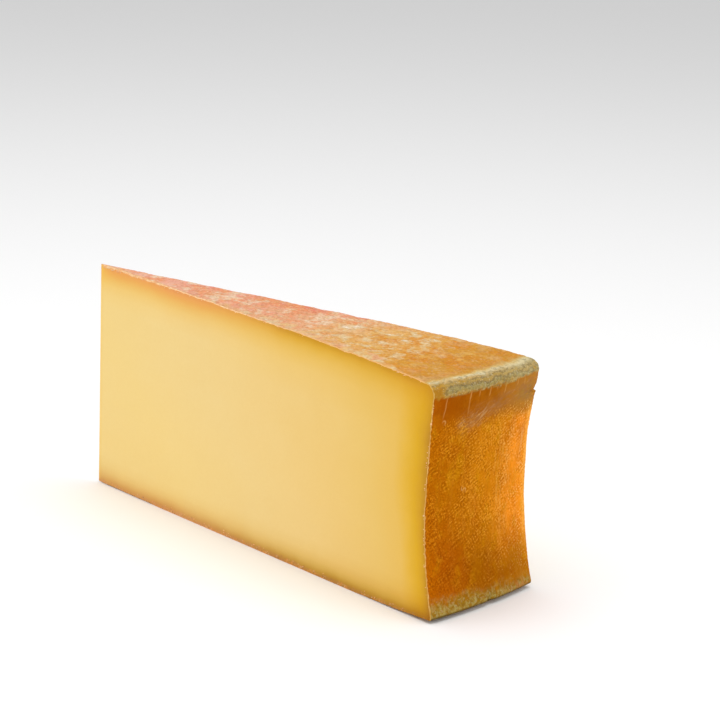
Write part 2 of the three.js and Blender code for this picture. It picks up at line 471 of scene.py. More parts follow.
def stitchRows(mesh, rowA, rowB):
    lastA, lastB = len(rowA) - 1, len(rowB) - 1
    if lastA == lastB:
        for i in range(lastA):
            strip = i == 0 or i == lastA - 1
            face = mesh.faces.new((rowA[i], rowA[i + 1], rowB[i + 1], rowB[i]))
            face.material_index = crumbledSlot if strip else rindSlot
        return
    # The first and last steps are the crumbled strips, so only what lies between is uneven
    for a, b in ((0, 0), (lastA - 1, lastB - 1)):
        face = mesh.faces.new((rowA[a], rowA[a + 1], rowB[b + 1], rowB[b]))
        face.material_index = crumbledSlot
    a, b = 1, 1
    endA, endB = lastA - 1, lastB - 1
    while a < endA or b < endB:
        nextA = a / max(1, endA - 1)
        nextB = b / max(1, endB - 1)
        if b == endB or (a < endA and nextA <= nextB):
            face = mesh.faces.new((rowA[a], rowA[a + 1], rowB[b]))
            a += 1
        else:
            face = mesh.faces.new((rowA[a], rowB[b + 1], rowB[b]))
            b += 1
        face.material_index = rindSlot


pasteFace = {
    "wave": 0.00022,
    "waveLength": 0.045,
    "drag": 0.00005,  # faint marks of the wire
    "dragLengths": (0.05, 0.006),  # along the cut and up it
    "flatEdge": 0.012,
    "margin": 0.6,  # shares of the mesh's step: kept free along the edges, and between two rows
    "rowHeight": 0.87,
}


def cutFace(mesh, outline, turn):
    # Fills one flat cut with an even mesh that leans very slightly in and out
    direction = Vector((math.cos(turn), math.sin(turn), 0))
    normal = Vector((math.sin(turn), -math.cos(turn), 0)) * (1 if turn < 0 else -1)
    origin = Vector((axisX, 0, 0))
    flat = [Vector(((v.co - origin).dot(direction), v.co.z)) for v in outline]
    step = grid["paste"]
    margin = step * pasteFace["margin"]
    inner = []
    row = 0
    height = step
    while height < faces["tipHeight"] - margin:
        reach = step * (1 + 0.5 * (row % 2))
        while reach < heelRadius(height) - margin:
            inner.append(Vector((reach, height)))
            reach += step
        height += step * pasteFace["rowHeight"]
        row += 1
    inner = [p for p in inner if p.y < upperHeight(p.x) - margin]
    count = len(flat)
    points, _, triangles, origins, _, _ = delaunay_2d_cdt(flat + inner, [], [list(range(count))], 1, 1e-7)
    dragAlong, dragUp = pasteFace["dragLengths"]
    made = []
    for place, sources in zip(points, origins):
        onOutline = [s for s in sources if s < count]
        if onOutline:
            made.append(outline[onOutline[0]])
            continue
        edge = min(place.y, upperHeight(place.x) - place.y, heelRadius(place.y) - place.x, place.x)
        wave = noise.noise(Vector((place.x, place.y, turn * 9)) / pasteFace["waveLength"])
        drag = noise.noise(Vector((place.x / dragAlong, place.y / dragUp, turn * 5)))
        inward = pasteFace["wave"] * abs(wave) + pasteFace["drag"] * abs(drag)
        inward *= smooth(edge, 0, pasteFace["flatEdge"])
        spot = origin + direction * place.x + Vector((0, 0, place.y)) - normal * inward
        made.append(mesh.verts.new(spot))
    for triangle in triangles:
        corners = [made[i] for i in triangle]
        if len(set(corners)) == 3:
            mesh.faces.new(corners).material_index = pasteSlot


def makeWedge():
    section = rindSection()
    rows = rindRows(section)
    mesh = bmesh.new()
    layers = {name: mesh.verts.layers.float.new(name) for name in markNames}
    built = []
    for row in rows:
        madeRow = []
        for point, marks in row:
            vertex = mesh.verts.new(insideCad(point))
            for name, layer in layers.items():
                vertex[layer] = marks[name]
            madeRow.append(vertex)
        built.append(madeRow)
    for first, second in zip(built, built[1:] + built[:1]):
        stitchRows(mesh, first, second)
    cutFace(mesh, [row[0] for row in built], -halfAngle)
    cutFace(mesh, [row[-1] for row in reversed(built)], halfAngle)
    bmesh.ops.recalc_face_normals(mesh, faces=mesh.faces)
    for face in mesh.faces:
        face.smooth = True
    for edge in mesh.edges:
        slots = {face.material_index for face in edge.link_faces}
        if len(edge.link_faces) == 2 and pasteSlot in slots and len(slots) > 1:
            edge.smooth = False
    data = bpy.data.meshes.new("cheeseWedge")
    mesh.to_mesh(data)
    mesh.free()
    wedge = bpy.data.objects.new("wedge_rind_and_paste", data)
    bpy.context.collection.objects.link(wedge)
    return wedge


wedge = makeWedge()
print("wedge skin:", len(wedge.data.vertices), "points,", len(wedge.data.polygons), "faces")


crumbs = {
    "seed": 12,
    "sizes": (0.00022, 0.0005),
    # edge, how many, from and to, how they gather at the start, how few are large, how much
    # larger they all are, depth inside the edge and how far that varies
    "rows": [
        ("upper", 46, 0.006, 0.285, 1.2, 2, 1, 0.0006, 0.0006),
        ("heel", 26, heelFoot + 0.003, heelHead - 0.008, 1, 2, 1, 0.0006, 0.0004),
        ("lower", 30, 0.02, 0.29, 1, 2, 1, 0, 0.003),
        ("upper", 18, 0.005, 0.02, 1.5, 1, 1.3, 0.0009, 0.0006),
    ],
    "sunk": 0.15,
    "lengths": (0.8, 1.6),
    "widths": (0.6, 1),
    "heights": (0.6, 1.1),
    "knobbly": 0.28,
}


def crumbSpots(rng):
    # Where the crumbs sit on the near and far cuts: (radius, height, side, size)
    spots = []
    small, large = crumbs["sizes"]
    for side in (-1, 1):
        for edge, count, start, end, gather, few, larger, depth, varies in crumbs["rows"]:
            for _ in range(count):
                place = blend(start, end, rng.random() ** gather)
                size = blend(small, large, rng.random() ** few) * larger
                further = rng.random() * varies
                if edge == "upper":
                    spots.append((place, upperHeight(place) - depth - further, side, size))
                elif edge == "heel":
                    spots.append((heelRadius(place) - depth - further, place, side, size))
                else:
                    spots.append((place, lowerHeight(place) + size + further, side, size))
    return spots


def makeCrumbs():
    rng = random.Random(crumbs["seed"])
    mesh = bmesh.new()
    for radius, height, side, size in crumbSpots(rng):
        turn = side * halfAngle
        sunk = Vector((math.sin(turn), -math.cos(turn), 0)) * (-side) * size * crumbs["sunk"]
        place = Vector((axisX + radius * math.cos(turn), radius * math.sin(turn), height)) + sunk
        stretch = Vector([rng.uniform(*crumbs[name]) for name in ("lengths", "widths", "heights")]) * size
        spin = Matrix.Rotation(rng.uniform(0, math.pi), 4, Vector((rng.random(), rng.random(), rng.random())))
        made = bmesh.ops.create_icosphere(mesh, subdivisions=1, radius=1)["verts"]
        for vertex in made:
            lump = vertex.co * (1 + crumbs["knobbly"] * noise.noise(vertex.co * 1.7 + place * 900))
            lump = Vector((lump.x * stretch.x, lump.y * stretch.y, lump.z * stretch.z))
            vertex.co = insideCad(place + spin @ lump)
    data = bpy.data.meshes.new("cheeseCrumbs")
    mesh.to_mesh(data)
    mesh.free()
    crumbObject = bpy.data.objects.new("crumbs", data)
    bpy.context.collection.objects.link(crumbObject)
    return crumbObject


crumbObject = makeCrumbs()
print("crumbs:", len(crumbObject.data.polygons), "faces")


# Finishes. Colours are as seen, in the usual red, green and blue from 0 to 255.
def paint(red, green, blue):
    def linear(value):
        share = value / 255
        return share / 12.92 if share <= 0.04045 else ((share + 0.055) / 1.055) ** 2.4

    return (linear(red), linear(green), linear(blue), 1)


class Look:
    # A material under construction: each call adds a node and gives back what comes out of it.
    # Its style is a dictionary that can hold:
    #   ramps: places on a line, in metres, and the colour at each
    #   shares: what to multiply, as numbers, patches and zones
    #   starts: what to add to some of the shares
    #   tints: a colour, then the share with which it covers another
    # Patches are (size in metres, low and high threshold, detail, shift, stretch, tilt), and
    # zones are {measure: (start, end, and the values there if not 0 and 1)}, or () for all of it.
    def __init__(self, name, style):
        self.style = style
        self.kept = {}
        self.material = bpy.data.materials.new(name)
        self.material.use_nodes = True
        self.nodes = self.material.node_tree.nodes
        self.links = self.material.node_tree.links
        self.nodes.clear()
        output = self.nodes.new("ShaderNodeOutputMaterial")
        self.shader = self.nodes.new("ShaderNodeBsdfPrincipled")
        self.links.new(self.shader.outputs["BSDF"], output.inputs["Surface"])
        self.shader.inputs["Roughness"].default_value = style["roughness"]
        self.shader.inputs["Specular IOR Level"].default_value = style["shine"]
        self.place = self.nodes.new("ShaderNodeTexCoord").outputs["Object"]

    def put(self, value, socket):
        if isinstance(value, bpy.types.NodeSocket):
            self.links.new(value, socket)
        else:
            socket.default_value = value

    def add(self, kind, inputs):
        node = self.nodes.new(kind)
        for name, value in inputs.items():
            self.put(value, node.inputs[name])
        return node

    def patches(self, size, low, high, detail, shift, stretch=(1, 1, 1), tilt=0.0):
        # Tilted about the long axis first, then stretched
        turned = self.add("ShaderNodeMapping", {"Vector": self.place, "Rotation": (-tilt, 0, 0)})
        stretched = self.add("ShaderNodeMapping", {"Vector": turned.outputs[0], "Scale": stretch})
        node = self.nodes.new("ShaderNodeTexNoise")
        node.noise_dimensions = "4D"
        values = {"W": shift, "Scale": 1 / size, "Detail": detail, "Roughness": 0.6}
        for name, value in {"Vector": stretched.outputs[0], **values}.items():
            self.put(value, node.inputs[name])
        return self.spread(node.outputs["Fac"], low, high)

    def spread(self, value, low, high, start=0.0, end=1.0):
        ends = {"From Min": low, "From Max": high, "To Min": start, "To Max": end}
        node = self.add("ShaderNodeMapRange", {"Value": value, **ends})
        node.interpolation_type = "SMOOTHSTEP"
        return node.outputs["Result"]

    def sum(self, operation, first, second=0.0, third=0.0):
        node = self.add("ShaderNodeMath", {0: first, 1: second, 2: third})
        node.operation = operation
        return node.outputs["Value"]

    def times(self, first, *others):
        for other in others:
            first = self.sum("MULTIPLY", first, other)
        return first

    def plus(self, first, *others):
        for other in others:
            first = self.sum("ADD", first, other)
        return first

    def minus(self, first, second):
        return self.sum("SUBTRACT", first, second)

    def larger(self, first, second):
        return self.sum("MAXIMUM", first, second)

    def mix(self, share, first, second, how="MIX"):
        # The node's seventh and eighth inputs and its third output are its colours
        node = self.add("ShaderNodeMix", {"Factor": share, 6: first, 7: second})
        node.data_type = "RGBA"
        node.blend_type = how
        return node.outputs[2]

    def keep(self, name, value):
        self.kept[name] = value
        return value

    def at(self, name):
        # A measure of the point: along an axis, or what was kept by that name, or a mark of the mesh
        if name in ("X", "Y", "Z"):
            return self.add("ShaderNodeSeparateXYZ", {"Vector": self.place}).outputs[name]
        if name not in self.kept:
            node = self.nodes.new("ShaderNodeAttribute")
            node.attribute_name = name
            self.kept[name] = node.outputs["Fac"]
        return self.kept[name]

    def fromAxis(self):
        # Distance from the wheel's axis
        x, y = self.minus(self.at("X"), axisX), self.at("Y")
        return self.keep("radius", self.sum("SQRT", self.plus(self.times(x, x), self.times(y, y))))

    def share(self, limits):
        if isinstance(limits, str):
            limits = self.style["shares"][limits]
        found = []
        for limit in limits:
            if isinstance(limit, tuple):
                found.append(self.patches(*limit))
            elif isinstance(limit, dict):
                for name, zone in limit.items():
                    found.append(self.spread(self.at(name), *zone) if zone else self.at(name))
            else:
                found.append(limit)
        return self.times(*found)

    def raised(self, name):
        return self.plus(self.share(name), self.style["starts"][name])

    def tint(self, name):
        return paint(*self.style["tints"][name][:3])

    def cover(self, colour, *names):
        # Lays tints over a colour, one after the other
        for name in names:
            colour = self.mix(self.share(self.style["tints"][name][3:]), colour, self.tint(name))
        return colour

    def ramp(self, value, name, shading=False):
        stops = [(place, paint(*colour)) for place, *colour in self.style["ramps"][name]]
        low, high = stops[0][0], stops[-1][0]
        if shading:
            # As shares of the last colour, to darken what lies under them
            base = stops[-1][1]
            stops = [(place, tuple(min(a / b, 1) for a, b in zip(colour, base))) for place, colour in stops]
        node = self.add("ShaderNodeValToRGB", {"Fac": self.sum("DIVIDE", self.minus(value, low), high - low)})
        elements = node.color_ramp.elements
        elements[0].color = stops[0][1]
        elements[1].color = stops[-1][1]
        for place, colour in stops[1:-1]:
            elements.new((place - low) / (high - low)).color = colour
        return node.outputs["Color"]

    def finish(self, colour, height=None, roughness=None):
        self.put(colour, self.shader.inputs["Base Color"])
        if roughness:
            self.put(roughness, self.shader.inputs["Roughness"])
        if height:
            distance, strength = self.style["bump"]
            inputs = {"Strength": strength, "Distance": distance, "Height": height}
            bump = self.add("ShaderNodeBump", inputs)
            self.links.new(bump.outputs["Normal"], self.shader.inputs["Normal"])
        return self.material


paste = {
    "roughness": 0.5,
    "shine": 0.1,
    "bump": (0.00004, 0.5),  # depth and strength
    "starts": {"wander": -0.002},
    "ramps": {
        # inwards from the heel's rind
        "fromHeel": [
            (0.0000, 192, 136, 30), (0.0045, 212, 158, 28), (0.0100, 224, 172, 32), (0.0180, 231, 183, 62),
            (0.0280, 235, 192, 94), (0.0500, 236, 197, 108), (0.0900, 239, 202, 122), (0.1400, 241, 207, 133),
            (0.2000, 242, 211, 140), (0.3000, 245, 214, 138),
        ],
        # down from the upper rind, near the heel and near the tip: riper paste, with a thin dark line of
        # painted shade just under the rind
        "underTop": [
            (0.0000, 204, 144, 26), (0.0016, 214, 157, 36), (0.0034, 224, 169, 50), (0.0064, 231, 182, 72),
            (0.0110, 236, 191, 92), (0.0180, 239, 198, 110), (0.0340, 240, 202, 122),
        ],
        "underTopTip": [
            (0.0000, 232, 150, 82), (0.0020, 238, 161, 84), (0.0046, 239, 172, 84), (0.0078, 240, 187, 96),
            (0.0116, 242, 199, 114), (0.0170, 243, 206, 128), (0.0240, 243, 209, 134),
        ],
        # up from the foot, near the heel and near the tip
        "aboveFoot": [
            (0.0000, 178, 120, 46), (0.0016, 186, 136, 54), (0.0034, 201, 156, 62), (0.0056, 217, 177, 88),
            (0.0086, 230, 192, 110), (0.0130, 238, 204, 130), (0.0190, 241, 209, 140),
        ],
        "aboveFootTip": [
            (0.0000, 204, 140, 78), (0.0016, 210, 149, 82), (0.0034, 216, 163, 92), (0.0054, 226, 179, 106),
            (0.0082, 234, 195, 122), (0.0120, 239, 205, 134), (0.0170, 241, 209, 140),
        ],
    },
    "shares": {
        "wander": [0.004, (0.03, 0.2, 0.8, 3, 5.0)],
        "yellow": [{"Z": (0.105, 0.02, 1.02, 1.4)}],  # the yellow zone by the heel narrows downwards
        "ripe": [{"fromHeel": (0.0, 0.03, 0.55, 1.0)}], "nearTip": [{"radius": (0.20, 0.08)}],
        "footTip": [{"radius": (0.23, 0.07)}], "ragged": [0.0026, (0.0026, 0.35, 0.7, 4, 22.0)],
        "rindLine": [0.7, {"aboveLine": (0.0013, 0.0001)}], "fine": [(0.0016, 0.3, 0.7, 2, 1.0)],
        "waves": [(0.007, 0.3, 0.7, 3, 4.0)], "smear": [(0.02, 0.3, 0.7, 3, 7.0, (0.4, 0.4, 1.6))],
        "roughness": [{"smear": (0, 1, 0.42, 0.56)}],
    },
    "tints": {
        "cloudy": [248, 224, 160, 0.14, (0.05, 0.35, 0.75, 3, 2.0), {"fromHeel": (0.02, 0.1)}],
        "tipCorner": [246, 196, 84, 0.7, {"radius": (0.016, 0.0), "underTop": (0.018, 0.0)}],
        "tipEdge": [246, 196, 84, 0.3, {"radius": (0.006, 0.002)}],
        "grain": [226, 176, 90, 0.05, {"fine": ()}],
        # the lower rind's edge, and the bits that hang from it
        "rindLine": [184, 128, 62], "rindLineTip": [216, 152, 98, {"radius": (0.23, 0.07)}],
        "rindOrange": [226, 152, 76, (0.005, 0.46, 0.64, 3, 22.6)],
        "rindCrumb": [232, 188, 136, (0.0018, 0.55, 0.66, 3, 23.0)],
        "rindDark": [150, 104, 66, (0.0014, 0.56, 0.66, 3, 23.6)],
    },
}


def finishPaste():
    look = Look("smoothCutPaste", paste)
    radius = look.fromAxis()
    height = look.at("Z")
    part = look.sum("DIVIDE", radius, wheel["radius"])
    drop = look.times(look.sum("POWER", part, faces["dropCurve"]), faces["drop"])
    shoulder = look.times(look.sum("POWER", part, faces["shoulderCurve"]), faces["shoulder"])
    topLine = look.minus(look.minus(faces["tipHeight"], drop), shoulder)
    underTop = look.keep("underTop", look.minus(topLine, height))
    # The heel's hollow as a parabola through the waist
    offMiddle = look.minus(height, (heelHead + heelFoot) / 2)
    offMiddle = look.sum("DIVIDE", offMiddle, (heelHead - heelFoot) / 2)
    hollow = look.minus(1.0, look.times(offMiddle, offMiddle))
    waistLine = look.minus((wheel["radius"] + wheel["upperRim"]) / 2, look.times(hollow, heel["waist"]))
    wander = look.raised("wander")
    fromHeel = look.plus(look.minus(waistLine, radius), wander)
    fromHeel = look.keep("fromHeel", look.times(fromHeel, look.share("yellow")))
    colour = look.cover(look.ramp(fromHeel, "fromHeel"), "cloudy")

    # Riper under the upper rind, with a thin line of painted shade just under it, and drier along the foot
    depth = look.plus(look.times(wander, 0.5), underTop)
    top, topTip = look.ramp(depth, "underTop", True), look.ramp(depth, "underTopTip", True)
    topShade = look.mix(look.share("nearTip"), top, topTip)
    colour = look.mix(look.share("ripe"), colour, topShade, "MULTIPLY")
    rise = look.plus(look.times(wander, -0.5), height)
    foot, footTip = look.ramp(rise, "aboveFoot", True), look.ramp(rise, "aboveFootTip", True)
    colour = look.mix(1.0, colour, look.mix(look.share("footTip"), foot, footTip), "MULTIPLY")
    colour = look.cover(colour, "tipCorner", "tipEdge")

    # The lower rind's edge, seen under the paste
    look.keep("aboveLine", look.minus(height, look.share("ragged")))
    bits = look.cover(look.tint("rindLine"), "rindLineTip", "rindOrange", "rindCrumb", "rindDark")
    colour = look.mix(look.share("rindLine"), colour, bits)
    fine = look.keep("fine", look.share("fine"))
    look.keep("smear", look.share("smear"))
    grain = look.plus(fine, look.share("waves"))
    return look.finish(look.cover(colour, "grain"), grain, look.share("roughness"))


strokeLength, strokeWidth = scuff["strokes"]
flatTilt, steepTilt = scuff["tilts"]
thin = (1, strokeWidth / strokeLength, 1)
smoothLine = cloth["smoothBelowRim"]

rind = {
    "roughness": 0.8,
    "shine": 0.01,
    "bump": (0.0002, 0.7),
    "heelWander": 0.016,
    "grainDepth": 2.6,
    "upperStart": 0.02,
    "aroundTip": 0.001,  # added to the radius, so that nothing is divided by zero
    "starts": {
        "wobble": -0.0016,
        "fineWobble": -0.0005,
        "pinkFar": 0.3,
        "creamTip": 0.86,
        "spotShare": 0.06,
        "stripWidth": 0.003,
        "flourHeel": 0.5,
    },
    "ramps": {
        # across the heel, from the near cut to the far one; lighter towards the far cut, partly the rind's
        # own tone and partly painted light from the right
        "heel": [
            (-0.043, 184, 100, 0), (-0.026, 182, 102, 0), (-0.010, 192, 114, 4), (0.006, 208, 126, 8),
            (0.020, 224, 134, 20), (0.031, 246, 146, 28), (0.043, 252, 154, 34),
        ],
        # lower down the heel, darker: painted shade
        "heelFoot": [
            (-0.043, 186, 98, 0), (-0.028, 172, 86, 0), (-0.010, 162, 92, 0), (0.015, 162, 91, 0),
            (0.043, 180, 113, 0),
        ],
        "glazed": [
            (-0.043, 174, 88, 0), (-0.034, 160, 78, 0), (-0.012, 155, 82, 0), (0.006, 163, 95, 8),
            (0.026, 178, 116, 30), (0.043, 190, 128, 38),
        ],
        # painted shade between the threads and painted highlight on top of them
        "threadPitShade": [(-0.043, 118, 56, 0), (0.010, 138, 70, 0), (0.043, 196, 96, 6)],
        "threadTop": [(-0.043, 234, 152, 26), (0.010, 240, 170, 62), (0.043, 255, 204, 132)],
        # down over the upper rim
        "mould": [
            (-0.0052, 190, 138, 60), (-0.0030, 195, 147, 70), (-0.0014, 206, 174, 106),
            (0.0004, 214, 200, 158), (0.0018, 202, 190, 152), (0.0030, 176, 158, 112), (0.0040, 154, 134, 88),
            (0.0048, 180, 148, 80), (0.0058, 174, 142, 78), (0.0066, 140, 120, 74), (0.0074, 170, 150, 94),
            (0.0086, 158, 138, 80), (0.0096, 182, 152, 90), (0.0104, 172, 130, 58),
        ],
        # along the upper face, from the tip to the heel
        "upper": [
            (0.000, 226, 190, 156), (0.030, 229, 180, 154), (0.060, 230, 174, 150), (0.120, 226, 167, 136),
            (0.180, 224, 172, 124), (0.215, 219, 166, 92), (0.250, 207, 149, 60), (0.298, 190, 135, 52),
        ],
    },
    "shares": {
        # heel
        "broad": [(0.024, 0.25, 0.75, 3, 1.0)], "depth": [0.012, (0.02, 0.2, 0.8, 3, 6.0)],
        "depthSlope": [0.22, {"Y": ()}],  # the low zone is less high at the far cut
        "lowHeel": [{"depth": (0.060, 0.026)}],
        "streaks": [0.36, (0.0021, 0.48, 0.7, 3, 3.0, (1, 1, 0.07)), (0.02, 0.3, 0.6, 3, 3.6),
                    {"across": (-0.01, 0.02, 0.5, 1.2), "Z": (0.025, 0.055, 0.15, 1)}],
        "glazeWander": [-0.006, {"broad": ()}], "glazeSlope": [-0.1, {"across": ()}],
        "glazed": [0.94, {"boundary": (smoothLine + 0.0105, smoothLine - 0.0015)}],
        "crossings": [0.4, {"rising": (), "falling": ()}],
        "printed": [0.85, (0.0034, 0.3, 0.62, 3, 13.5)],  # some threads printed well and others hardly
        # pits and tops: painted shade between the cloth's threads and painted highlight on top of them
        "grain": [(0.0009, 0.32, 0.68, 2, 13.0)], "pits": [{"imprint": (0.1, -1.2, 0, 0.48)}],
        "tops": [{"imprint": (0.1, 1.3), "depth": (0.026, 0.060, 0.22, 0.52)}],
        "scuffWorn": [0.6, {"scuff": ()}],
        "scratches": [0.35, (strokeWidth, 0.54, 0.68, 2, 19.0, thin, flatTilt)],
        "fan": [(strokeWidth, 0.50, 0.62, 2, 20.0, thin, steepTilt), {"scuffEnd": ()}],
        # foot
        "footSlope": [0.035, {"Y": ()}],  # the band is higher at the near cut
        "footWander": [-0.0065, (0.007, 0.2, 0.8, 7, 9.0)],
        "footBand": [0.88, {"footLine": (0.0094, 0.0012, 0, 1)}],
        # upper rim
        "wobble": [0.0032, (0.012, 0.2, 0.8, 4, 4.5)], "fineWobble": [0.0010, (0.0018, 0.2, 0.8, 3, 4.9)],
        "goldCorner": [{"across": (-0.031, -0.036)}],
        "goldSpots": [(0.007, 0.52, 0.64, 5, 12.0, (1, 0.5, 1))],
        "specks": [(0.0013, 0.5, 0.6, 3, 2.5, (1, 0.6, 1))],
        # upper face
        "wander": [0.04, (0.03, 0.2, 0.8, 3, 8.8)], "towardsHeel": [{"wandering": (0.17, 0.22)}],
        "farSide": [{"turned": (0.0, 0.14)}], "pinkClouds": [(0.013, 0.35, 0.65, 3, 3.3)],
        "pinkFar": [0.45, {"farSide": ()}], "pinkPatch": [0.85, {"farSide": (0.3, 0.9)}],
        "pinkFrom": [{"radius": (0.12, 0.15)}], "pinkTo": [{"radius": (0.188, 0.172)}],
        "orangeClouds": [0.6, (0.014, 0.46, 0.62, 6, 6.6)],
        "orangeSpots": [0.4, (0.0058, 0.52, 0.64, 5, 7.1)], "dusty": [(0.0019, 0.22, 0.52, 3, 24.0)],
        "creamTip": [-0.72, {"towardsHeel": ()}], "spotsFrom": [{"radius": (0.17, 0.2)}],
        "spotsTo": [{"radius": (0.235, 0.27, 1, 0)}], "spotShare": [0.64, {"spots": ()}],
        "wideFrom": [{"radius": (0.08, 0.16)}], "wideTo": [{"radius": (0.23, 0.27, 1, 0)}],
        "stripWidth": [0.010, {"wide": ()}], "ragged": [(0.009, 0.25, 0.7, 5, 10.5)],
        "strip": [{"inside": (0.0015, -0.002), "Y": (-0.002, 0.002, 0.7, 0.15)}],
        "halfwayFrom": [{"radius": (0.05, 0.10)}], "halfwayTo": [{"radius": (0.245, 0.20)}],
        "ridges": [(0.010, 0.2, 0.8, 3, 30.0)], "ridgeWidth": [{"ridges": (0.05, 0.01)}],
        "veins": [(0.0046, 0.2, 0.8, 4, 31.0)], "veinWidth": [{"veins": (0.06, 0.01)}],
        "grit": [(0.0018, 0.46, 0.64, 4, 9.9)], "flourHeel": [-0.34, {"radius": (0.18, 0.26)}],
        # which part of the rind this is
        "rimWander": [-0.006, (0.006, 0.2, 0.8, 7, 11.5)],
        "onTop": [{"rimPlace": (-0.004, -0.009), "Z": (0.1, 0.11)}],
        "underneath": [{"Z": (0.0024, 0.0016), "radius": (0.298, 0.295)}],
        "roughness": [{"rimBand": (0, 1, 0.66, 0.88)}], "speckBump": [0.8, {"specks": ()}],
        "threadBump": [0.3, {"imprint": ()}],
    },
    "tints": {
        # heel
        "rust": [168, 80, 0, 0.4, (0.011, 0.45, 0.75, 3, 8.0, (1, 1, 0.55))],
        "golden": [204, 138, 8, 0.55, (0.008, 0.5, 0.72, 3, 8.6, (1, 1, 0.7))],
        "dull": [194, 128, 36, 0.7, {"boundary": (0.030, 0.021), "across": (0.0, 0.026)}],
        "glazedLight": [190, 112, 18, 0.25, (0.0042, 0.46, 0.64, 6, 27.0, (1, 1, 0.7))],
        "glazedDark": [140, 66, 0, 0.3, (0.006, 0.5, 0.66, 5, 28.0)],
        # a painted highlight: a bright strip along the far cut's edge of the heel
        "farEdgeHighlight": [255, 176, 66, 0.8,
                    {"across": (0.0372, 0.0410), "boundary": (0.020, 0.026), "depth": (0.03, 0.055)}],
        "stain": [150, 122, 62, 0.75, (0.003, 0.3, 0.6, 4, 17.0, (1, 0.5, 1)), {"stain": ()}],
        "haze": [166, 112, 58, 0.62, (0.0034, 0.34, 0.62, 7, 18.0, (1, 0.45, 1), flatTilt), {"scuff": ()}],
        "plum": [152, 102, 66, 0.55, (0.0015, 0.47, 0.6, 5, 18.6, (1, 0.5, 1), flatTilt), {"worn": ()}],
        "scratch": [202, 156, 104, 0.65, {"scratches": (), "scuff": ()}],
        "crease": [226, 170, 96, 0.55, {"crease": ()}],
        # foot
        "foot": [150, 114, 26], "footGrey": [170, 154, 84, (0.0026, 0.42, 0.58, 5, 9.5)],
        "footPink": [182, 130, 70, (0.006, 0.45, 0.6, 3, 15.0), {"Y": (0.012, 0.03)}],
        "footDark": [116, 86, 24, 0.5, (0.0014, 0.48, 0.62, 3, 16.0)],
        "footPale": [204, 190, 150, 0.34, (0.0014, 0.54, 0.66, 3, 16.6)],
        # painted shade along the underside where the rind meets the shelf
        "footContactShade": [100, 80, 32, 0.85, {"Z": (0.0040, 0.0026)}],
        # upper rim
        "mouldTan": [200, 160, 92, (0.008, 0.42, 0.62, 6, 4.1),
                     {"down": (0.0046, 0.0036), "across": (-0.01, 0.025, 0.7, 0.25)}],
        "mouldFar": [198, 182, 132, {"across": (0.0, 0.03, 0, 0.3)}],
        "mouldGold": [188, 140, 48, 0.65, {"gold": (), "down": (0.0032, 0.0044)}],
        "mouldPale": [228, 214, 184, 0.36, (0.001, 0.54, 0.68, 2, 2.9)],
        "mouldDark": [108, 94, 62, {"specks": (), "down": (-0.002, 0.002, 0.1, 0.46)}],
        "cornerBrown": [180, 122, 26, {"across": (-0.0345, -0.0385), "down": (0.0042, 0.007, 0, 0.8)}],
        # upper face
        "pink": [224, 116, 102, {"pink": ()}], "orange": [230, 142, 88],
        "amber": [206, 126, 34, {"towardsHeel": ()}],
        "straw": [222, 180, 104, (0.01, 0.5, 0.66, 6, 21.0),
                  {"towardsHeel": (), "radius": (0.284, 0.270, 0.1, 0.55)}],
        "cream": [232, 208, 178, (0.0105, 0.51, 0.6, 4, 5.5), {"dusty": (), "creamZone": ()}],
        "spot": [218, 202, 160, (0.0076, 0.5, 0.59, 4, 7.7), (0.0019, 0.28, 0.52, 3, 24.6), {"spotZone": ()}],
        "bloom": [240, 232, 214, (0.0076, 0.62, 0.69, 4, 7.7), {"spotZone": ()}],
        "edgeCream": [226, 184, 122], "blush": [222, 164, 126, (0.008, 0.42, 0.58, 5, 25.0)],
        "edgeSpot": [218, 202, 160, (0.006, 0.52, 0.6, 5, 26.0), {"dusty": ()}],
        "ridge": [226, 184, 122, 0.45, {"ridge": ()}], "vein": [182, 130, 84, 0.32, {"vein": ()}],
        "grit": [160, 100, 56, 0.34, {"grit": ()}],
        "flour": [232, 208, 178, (0.0016, 0.53, 0.66, 4, 11.9), {"flourZone": ()}],
    },
}


